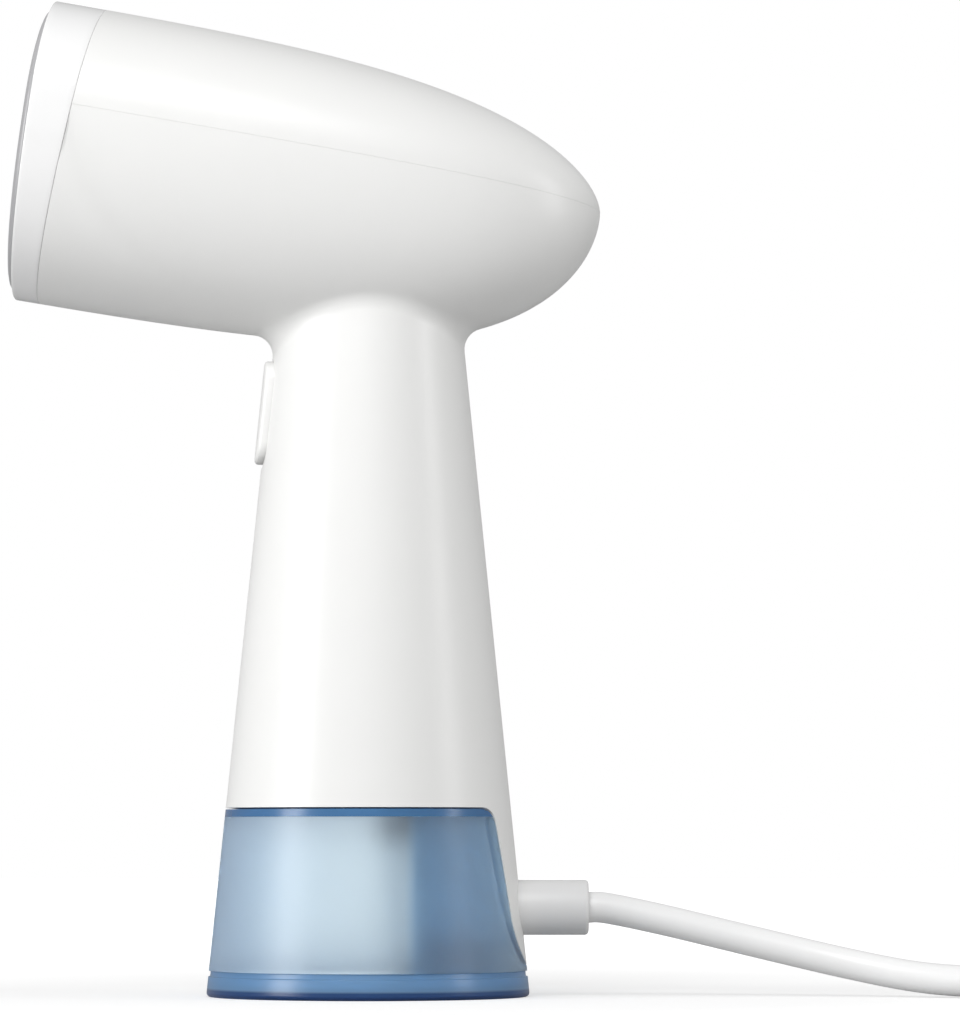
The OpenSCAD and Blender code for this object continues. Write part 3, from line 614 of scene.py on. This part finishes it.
def grow(obj, tree, sizes, angle=32):
    """Runs a tree on a piece with the sizes given, and keeps the result as its plain mesh."""
    modifier = obj.modifiers.new(tree.name, "NODES")
    modifier.node_group = tree
    for item in tree.interface.items_tree:
        label = item.name.replace(" ", "_")
        if item.in_out == "INPUT" and label in sizes:
            modifier[item.identifier] = sizes[label]
    bake(obj, angle)


hole_sizes = {"hole_width": 0.0024, "ring_gap": 0.01, "first_ring": 6, "second_ring": 12}
holes, add = node_tree("steam holes", **hole_sizes)
given = add("NodeGroupInput")
drill_r = add("ShaderNodeMath", {"operation": "MULTIPLY"})
holes.links.new(given.outputs["hole width"], drill_r.inputs[0])
drill_r.inputs[1].default_value = 0.5
twice = add("ShaderNodeMath", {"operation": "MULTIPLY"})
holes.links.new(given.outputs["ring gap"], twice.inputs[0])
twice.inputs[1].default_value = 2
drill = add("GeometryNodeMeshCylinder", Vertices=24, Radius=drill_r.outputs[0], Depth=0.02)
near_ring = add("GeometryNodeMeshCircle", Vertices=given.outputs["first ring"],
                Radius=given.outputs["ring gap"])
far_ring = add("GeometryNodeMeshCircle", Vertices=given.outputs["second ring"], Radius=twice.outputs[0])
middle = add("GeometryNodePoints", Count=1)
spots = add("GeometryNodeJoinGeometry")
for ring in (near_ring.outputs["Mesh"], far_ring.outputs["Mesh"]):
    as_points = add("GeometryNodeMeshToPoints", Mesh=ring)
    holes.links.new(as_points.outputs["Points"], spots.inputs["Geometry"])
holes.links.new(middle.outputs[0], spots.inputs["Geometry"])
drills = add("GeometryNodeInstanceOnPoints", Points=spots.outputs[0], Instance=drill.outputs["Mesh"])
turned = add("GeometryNodeTransform", Geometry=drills.outputs[0],
             Translation=tuple(c / 1000 for c in on_face(0, 0, 0)),
             Rotation=(0, math.pi / 2 + face_lean, 0))
solid_drills = add("GeometryNodeRealizeInstances", Geometry=turned.outputs[0])
drilled = add("GeometryNodeMeshBoolean", {"operation": "DIFFERENCE", "solver": "EXACT"})
holes.links.new(given.outputs["Geometry"], drilled.inputs[0])
holes.links.new(solid_drills.outputs[0], drilled.inputs[1])
coated = add("GeometryNodeSetMaterial", Geometry=drilled.outputs[0], Material=grey_plate)
add("NodeGroupOutput", Geometry=coated.outputs[0])
grow(plate, holes, hole_sizes)
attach(plate, "handle_unit")
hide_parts("steam_plate")


# ---------------------------------------------------------------- Trigger
# White rocker in a close window at the front of the handle, its plain face curved like the handle but
# a little prouder. It turns on a pin near its upper end, and a pusher behind it reaches the switch.
button_w, button_h, button_z, button_out = 15, 25.5, 144.3, 1.9
button_corner, window_gap, window_drop = 5, 0.5, 1.1


def button_loop(gap, drop, x):
    """The button's rounded outline, on the front of the leaning handle wall, at a depth along X."""
    loop = []
    for cy, cz, a0 in ((1, 1, 0), (-1, 1, 90), (-1, -1, 180), (1, -1, 270)):
        for k in range(9):
            a = math.radians(a0 + 90 * k / 8)
            y = cy * (button_w / 2 - button_corner) + (button_corner + gap) * math.cos(a)
            z = cz * (button_h / 2 - button_corner) + (button_corner + gap) * math.sin(a)
            loop.append((y, z - (drop if cz < 0 else 0)))
    return [(-body_r(button_z) + x * math.cos(lean) + z * math.sin(lean), y,
             button_z - x * math.sin(lean) + z * math.cos(lean)) for y, z in loop]


window_rings = [button_loop(window_gap, window_drop, x) for x in (-8, 8)]
window_tool = piece("window_tool", *skin(window_rings), satin_white)
carve(housing, window_tool)
bake(housing, 30, window_tool)
button_rows = []
for inset, proud in ((0, -2.4), (0, button_out - 0.75), (0.1, button_out - 0.4), (0.35, button_out - 0.12),
                     (0.75, button_out), (2.2, button_out), (4, button_out), (5.6, button_out)):
    row = []
    for x, y, z in button_loop(0, 0, 0):
        y *= 1 - inset / (button_w / 2)
        z = button_z + (z - button_z) * (1 - inset / (button_h / 2))
        row.append((-math.sqrt((body_r(z) + proud) ** 2 - y ** 2), y, z))
    button_rows.append(row)
pivot_x, pivot_z = -17.5, button_z + button_h / 2 - 2
arm_x = -body_r(pivot_z) + 1.5
arm = [[(x, y, pivot_z + z) for y, z in ((-3.5, -1.8), (2.2, -1.8), (2.2, 1.2), (-3.5, 1.2))]
       for x in (arm_x, pivot_x)]
eye = lathe([(2, -3.5), (2, 2.2)], 32, "y", (pivot_x, 0, pivot_z))
push_z = pivot_z - 17
pusher = lathe([(1.5, -body_r(push_z) + 1), (1.5, -22.6)], 24, "x", (0, 0, push_z))
button_skins = joined(skin(button_rows), skin(arm), skin(eye), skin(pusher))
button = piece("trigger_face", *button_skins, satin_white, 60)
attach(button, "trigger")
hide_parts("trigger_button")


# ---------------------------------------------------------------- Cord guard
# Short soft sleeve, in white, that is trapped in the spine behind the tank and leads the cord out.
guard_start, guard_end, guard_d = 33, 54.4, 13.6
guard_profile = rounded([(cord_d / 2, guard_start), (guard_d / 2, guard_start), (guard_d / 2, guard_end),
                         (cord_d / 2, guard_end), (cord_d / 2, guard_start)], [0, 0.3, 1, 0.4, 0], 5)
guard_white = gloss_plastic("guard_white", (0.74, 0.74, 0.74), 0.42, grain=0.5, depth=0.02)
guard = piece("cord_guard_sleeve", *skin(lathe(guard_profile, 96, "x", (0, 0, cord_z)), caps=False),
              guard_white, 28)
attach(guard, "handle_unit")
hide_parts("cord_guard")


# ---------------------------------------------------------------- Tank
# Thin clear blue shell, welded on a deeper blue base and closed by a blue deck. A deep pocket in its
# back takes the housing's spine; the pocket's upper corners are rounded.
def clear_plastic(name, colour, rim_colour, roughness, clarity):
    """Tinted clear plastic, deeper where it is seen edge on, with a slightly uneven moulded surface."""
    material = gloss_plastic(name, colour, roughness, grain=3, depth=0.02, mottle=0.03, spread=0.03)
    nodes, links = material.node_tree.nodes, material.node_tree.links
    shader = nodes["Principled BSDF"]
    facing = nodes.new("ShaderNodeLayerWeight")
    facing.inputs["Blend"].default_value = 0.3
    deeper = nodes.new("ShaderNodeMix")
    deeper.data_type = "RGBA"
    deeper.inputs["B"].default_value = (*rim_colour, 1)
    links.new(facing.outputs["Facing"], deeper.inputs["Factor"])
    links.new(shader.inputs["Base Color"].links[0].from_socket, deeper.inputs["A"])
    links.new(deeper.outputs["Result"], shader.inputs["Base Color"])
    shader.inputs["Transmission Weight"].default_value = clarity
    shader.inputs["IOR"].default_value = 1.45
    return material


def graded(material, axis, start, end, colour, side):
    """Changes a material's colour along an axis: up to start on side A, or from end on for side B."""
    nodes, links = material.node_tree.nodes, material.node_tree.links
    shader = nodes["Principled BSDF"]
    place = nodes.new("ShaderNodeSeparateXYZ")
    grade = nodes.new("ShaderNodeMapRange")
    grade.inputs["From Min"].default_value = start
    grade.inputs["From Max"].default_value = end
    blend = nodes.new("ShaderNodeMix")
    blend.data_type = "RGBA"
    blend.inputs[side].default_value = (*colour, 1)
    own_side = "B" if side == "A" else "A"
    links.new(nodes["Texture Coordinate"].outputs["Object"], place.inputs[0])
    links.new(place.outputs[axis], grade.inputs["Value"])
    links.new(grade.outputs["Result"], blend.inputs["Factor"])
    links.new(shader.inputs["Base Color"].links[0].from_socket, blend.inputs[own_side])
    links.new(blend.outputs["Result"], shader.inputs["Base Color"])


base_h, floor_t, tank_wall, deck_t = 6.4, 2, 2.2, 1.9
deck_z = split_z - deck_t
spine_gap = 0.5
pocket_x = spine_x - spine_gap
blue_base = clear_plastic("blue_base", (0.25, 0.48, 0.76), (0.12, 0.32, 0.6), 0.3, 0.6)
graded(blue_base, "Z", 0.0017, 0.0023, (0.012, 0.07, 0.26), "A")
foot_r = body_r(0)
base_profile = rounded([(0, 0), (foot_r, 0), (body_r(5), 5), (body_r(5) - 0.45, 5.05),
                        (body_r(base_h) - 0.45, base_h), (body_r(base_h) - tank_wall - 1, base_h),
                        (body_r(floor_t) - tank_wall - 1, floor_t), (0, floor_t)],
                       [0, 1, 0.15, 0.1, 0.2, 0.2, 1.2, 0], 5)
base = piece("tank_base_cup", *skin(lathe(base_profile, 160), caps=False), blue_base, 35)
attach(base, "tank")
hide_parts("tank_base")


def pocket_half(z):
    return spine_half(z, split_z, spine_gap)


shell_rows = [(z, pocket_half(z)) for z in spine_rows(split_z, spine_gap) if z < deck_z]
shell_rows = [(deck_z, pocket_half(deck_z))] + shell_rows + [(base_h, 0)]
outer_steps, shell_wall = 56, 1.8
tank_rows = []
for z, half in shell_rows:
    r = body_r(z)
    edge = math.asin(half / r)
    row = [(pocket_x, half * k / 8, z) for k in range(9)]
    rim_x = r * math.cos(edge)
    row += [(pocket_x + (rim_x - pocket_x) * k / 8, half, z) for k in range(1, 9)]
    sweep = [edge + (math.pi - edge) * k / outer_steps for k in range(1, outer_steps + 1)]
    row += [(r * math.cos(a), r * math.sin(a), z) for a in sweep]
    tank_rows.append([(x, -y, z) for x, y, z in reversed(row[1:])] + row)
tank_verts, tank_faces = skin(tank_rows, closed=False)
wide = len(tank_rows[0])
last_band = len(tank_verts) - 2 * wide
# The lowest band closes only the outer skin, because the pocket ends above it.
tank_faces = [f for f in tank_faces
              if f[0] < last_band or not outer_steps <= f[0] - last_band < wide - outer_steps - 1]
clear_blue = clear_plastic("clear_blue", (0.86, 0.95, 1.0), (0.34, 0.6, 0.94), 0.4, 0.95)
# Painted shade: from X 9.5 mm to 12.5 mm onwards, the tank's colour turns a darker blue. It stands in for the
# shade where the spine in its pocket blocks the light coming through the tank.
graded(clear_blue, "X", 0.0095, 0.0125, (0.62, 0.8, 0.95), "B")
tank = piece("tank_wall_shell", tank_verts, tank_faces, clear_blue, 40)
thicken(tank, shell_wall)
break_edges(tank, 0.5, 3, 60)
bake(tank, 30)
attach(tank, "tank")
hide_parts("tank_shell")

deck_rows = []
for z in (deck_z + 0.02, deck_z + 0.5, deck_z + 0.95, deck_z + 1.4, split_z):
    half, r = pocket_half(z), body_r(z)
    edge = math.asin(half / r)
    loop = [(pocket_x, half * k / 4, z) for k in range(-4, 5)]
    loop += [(pocket_x + (r * math.cos(edge) - pocket_x) * k / 8, half, z) for k in range(1, 8)]
    loop += [(r * math.cos(a), r * math.sin(a), z) for a in (edge + (math.tau - 2 * edge) * k / 120
                                                            for k in range(121))]
    loop += [(pocket_x + (r * math.cos(edge) - pocket_x) * k / 8, -half, z) for k in range(7, 0, -1)]
    deck_rows.append(loop)
deck_blue = clear_plastic("deck_blue", (0.085, 0.25, 0.52), (0.02, 0.11, 0.3), 0.25, 0.4)
deck = piece("tank_deck_plate", *skin(deck_rows), deck_blue, 35)
dock_x, socket_r = 6.5, 4.2
hinge_x, cap_z, cap_t, cap_r, filler_r, knuckle_r = -3.8, 47.1, 2, 8.5, 6.5, 1.9
hinge_z = cap_z + cap_t / 2
cap_x = hinge_x - cap_r - 1.7
vent_x, vent_y, vent_r = -6, 18, 1.5
ear_w, cut_past = 2, 2
for x, y, r in ((cap_x, 0, filler_r), (dock_x, 0, socket_r), (vent_x, vent_y, vent_r)):
    tool_rings = lathe([(r, deck_z - cut_past), (r, split_z + cut_past)], 64, "z", (x, y, 0))
    tool = piece("deck_tool", *skin(tool_rings), deck_blue)
    carve(deck, tool)
    bake(deck, 35, tool)
ears = []
for y1 in (4.3, -6.3):
    outline = [(hinge_x - knuckle_r, split_z - 0.1), (hinge_x + knuckle_r, split_z - 0.1)]
    outline += [(hinge_x + knuckle_r * math.cos(a), hinge_z + knuckle_r * math.sin(a))
                for a in (math.pi * k / 12 for k in range(13))]
    ear_rings = [[(x, y, z) for x, z in outline] for y in (y1, y1 + ear_w)]
    ears.append(piece("hinge_ear", *skin(ear_rings), deck_blue))
for ear in ears:
    carve(deck, ear, "UNION")
    bake(deck, 35, ear)
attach(deck, "tank")
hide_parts("tank_deck")


# ---------------------------------------------------------------- Filler cap
# Blue snap-in cap with a round plug, a plain finger tab at the front, and an arm and a barrel that hinge
# it between the deck's ears.
cap_profile = rounded([(0, cap_z + cap_t), (cap_r, cap_z + cap_t), (cap_r, cap_z), (filler_r - 0.5, cap_z),
                       (filler_r - 0.5, deck_z + 0.3), (0, deck_z + 0.3)], [0, 0.6, 0.2, 0.2, 0.7, 0], 4)
tab = []
for x in (cap_x - cap_r - 1.4, cap_x - cap_r - 0.9, cap_x - 2):
    pinch = 0.3 if x < cap_x - cap_r - 1 else 0
    tab.append([(x, y * (3 - pinch), z) for y, z in ((-1, cap_z + pinch), (1, cap_z + pinch),
                                                    (1, cap_z + cap_t - pinch), (-1, cap_z + cap_t - pinch))])
arm = [[(x, y, z) for y, z in ((-4, cap_z + 0.1), (4, cap_z + 0.1), (4, cap_z + cap_t - 0.1),
                              (-4, cap_z + cap_t - 0.1))] for x in (cap_x + 2, hinge_x)]
barrel = lathe([(knuckle_r - 0.3, -4), (knuckle_r - 0.3, 4)], 32, "y", (hinge_x, 0, hinge_z))
disc = skin(lathe(cap_profile, 96, "z", (cap_x, 0, 0)), caps=False)
cap = piece("cap_disc", *joined(disc, skin(tab), skin(arm), skin(barrel)), deck_blue, 35)
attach(cap, "cap")
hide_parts("filler_cap")


# ---------------------------------------------------------------- Inner works
# The moulded, cast, wound and sprung parts inside keep their built shapes; each gets the finish of
# what it is made of.
def metal(name, colour, roughness, grain=0.3, depth=0.006):
    """Bare or cast metal with fine tooling or casting grain."""
    material = gloss_plastic(name, colour, roughness, grain=grain, depth=depth, mottle=0.08)
    material.node_tree.nodes["Principled BSDF"].inputs["Metallic"].default_value = 1
    return material


finishes = {
    "white_shell": satin_white,
    "white_gloss": gloss_white,
    "grey_plate": grey_plate,
    "cast_aluminium": metal("cast_aluminium", (0.62, 0.62, 0.63), 0.5, 0.5, 0.06),
    "steel": metal("steel", (0.6, 0.6, 0.61), 0.26),
    "brass": metal("brass", (0.72, 0.53, 0.24), 0.28),
    "silicone": clear_plastic("silicone", (0.86, 0.84, 0.8), (0.8, 0.78, 0.74), 0.45, 0.4),
    "dark_rubber": gloss_plastic("dark_rubber", (0.035, 0.035, 0.035), 0.7, grain=0.4, depth=0.03),
    "nylon": gloss_plastic("nylon", (0.62, 0.6, 0.55), 0.45, grain=0.5, depth=0.02),
    "black_plastic": gloss_plastic("black_plastic", (0.03, 0.03, 0.03), 0.4, grain=0.5),
    "board": gloss_plastic("board", (0.04, 0.2, 0.08), 0.35, grain=0.6, mottle=0.2),
    "brown_sleeve": gloss_plastic("brown_sleeve", (0.2, 0.09, 0.03), 0.35),
    "blue_sleeve": gloss_plastic("blue_sleeve", (0.04, 0.13, 0.45), 0.35),
    "red_plastic": gloss_plastic("red_plastic", (0.55, 0.03, 0.02), 0.35),
    "blue_tank": clear_blue,
    "clear_plastic": clear_plastic("clear_plastic", (0.93, 0.96, 0.98), (0.8, 0.88, 0.95), 0.15, 0.92),
    "cord_white": cord_white,
}
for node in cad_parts:
    part = bpy.data.objects[node]
    for slot in part.material_slots:
        slot.material = finishes.get(slot.material.name.split(".")[0], satin_white)


# ---------------------------------------------------------------- Stage and light
# A pale table and backdrop that read as plain white, a wide key lamp above and in front, a soft low one
# at the left and a weak narrow one at the right. The table also glows for the camera with painted light. This
# glow is half strength near the steamer and full white further off, which paints over the lamps' fall-off
# there.
def seen_directly(tree):
    """1 for what the camera sees, straight or through clear parts, and 0 for all other light."""
    rays = tree.nodes.new("ShaderNodeLightPath")
    either = tree.nodes.new("ShaderNodeMath")
    either.operation = "MAXIMUM"
    tree.links.new(rays.outputs["Is Camera Ray"], either.inputs[0])
    tree.links.new(rays.outputs["Is Transmission Ray"], either.inputs[1])
    return either.outputs[0]


floor_mesh = bpy.data.meshes.new("table_top")
table_half = 4
table_corners = [(x * table_half, y * table_half, 0) for x, y in ((-1, -1), (1, -1), (1, 1), (-1, 1))]
floor_mesh.from_pydata(table_corners, [], [(0, 1, 2, 3)])
table_top = bpy.data.objects.new("table_top", floor_mesh)
bpy.context.collection.objects.link(table_top)
table_white = bpy.data.materials.new("table_white")
table_white.use_nodes = True
tnodes, tlinks = table_white.node_tree.nodes, table_white.node_tree.links
table_shader = tnodes["Principled BSDF"]
table_shader.inputs["Base Color"].default_value = (0.5, 0.5, 0.5, 1)
table_shader.inputs["Roughness"].default_value = 0.9
glow = tnodes.new("ShaderNodeEmission")
level = tnodes.new("ShaderNodeMath")
level.operation = "MULTIPLY"
spot = tnodes.new("ShaderNodeTexCoord")
away = tnodes.new("ShaderNodeVectorMath")
away.operation = "LENGTH"
tlinks.new(spot.outputs["Object"], away.inputs[0])
# Painted light: the table's glow is half strength within 0.12 m of the steamer and rises to full strength at
# 0.6 m.
painted_glow_by_distance = tnodes.new("ShaderNodeMapRange")
painted_glow_by_distance.inputs["From Min"].default_value = 0.12
painted_glow_by_distance.inputs["From Max"].default_value = 0.6
painted_glow_by_distance.inputs["To Min"].default_value = 0.5
painted_glow_by_distance.inputs["To Max"].default_value = 1
tlinks.new(away.outputs["Value"], painted_glow_by_distance.inputs["Value"])
tlinks.new(painted_glow_by_distance.outputs["Result"], level.inputs[1])
tlinks.new(seen_directly(table_white.node_tree), level.inputs[0])
tlinks.new(level.outputs[0], glow.inputs["Strength"])
both = tnodes.new("ShaderNodeAddShader")
tlinks.new(table_shader.outputs[0], both.inputs[0])
tlinks.new(glow.outputs[0], both.inputs[1])
tlinks.new(both.outputs[0], tnodes["Material Output"].inputs["Surface"])
floor_mesh.materials.append(table_white)

world = bpy.data.worlds.new("studio")
bpy.context.scene.world = world
world.use_nodes = True
wnodes, wlinks = world.node_tree.nodes, world.node_tree.links
room = wnodes["Background"]
room.inputs["Color"].default_value = (0.47, 0.47, 0.47, 1)
white = wnodes.new("ShaderNodeBackground")
white.inputs["Color"].default_value = (1, 1, 1, 1)
choose = wnodes.new("ShaderNodeMixShader")
wlinks.new(seen_directly(world.node_tree), choose.inputs["Fac"])
wlinks.new(room.outputs[0], choose.inputs[1])
wlinks.new(white.outputs[0], choose.inputs[2])
wlinks.new(choose.outputs[0], wnodes["World Output"].inputs["Surface"])


def softbox(name, at, towards, size, power):
    """A rectangular lamp that faces a point."""
    lamp = bpy.data.lights.new(name, "AREA")
    lamp.shape = "RECTANGLE"
    lamp.size, lamp.size_y = size
    lamp.energy = power
    holder = bpy.data.objects.new(name, lamp)
    bpy.context.collection.objects.link(holder)
    holder.location = at
    holder.rotation_euler = (Vector(towards) - Vector(at)).to_track_quat("-Z", "Y").to_euler()


softbox("key", (-0.2, -0.9, 0.85), (0, 0, 0.12), (0.7, 0.4), 6.6)
softbox("left", (-1.1, -0.6, 0.28), (0, 0, 0.06), (0.4, 0.6), 7.5)
softbox("right", (1.0, -0.3, 0.4), (0, 0, 0.08), (0.16, 0.6), 2.2)

bpy.context.scene.view_settings.view_transform = "Standard"
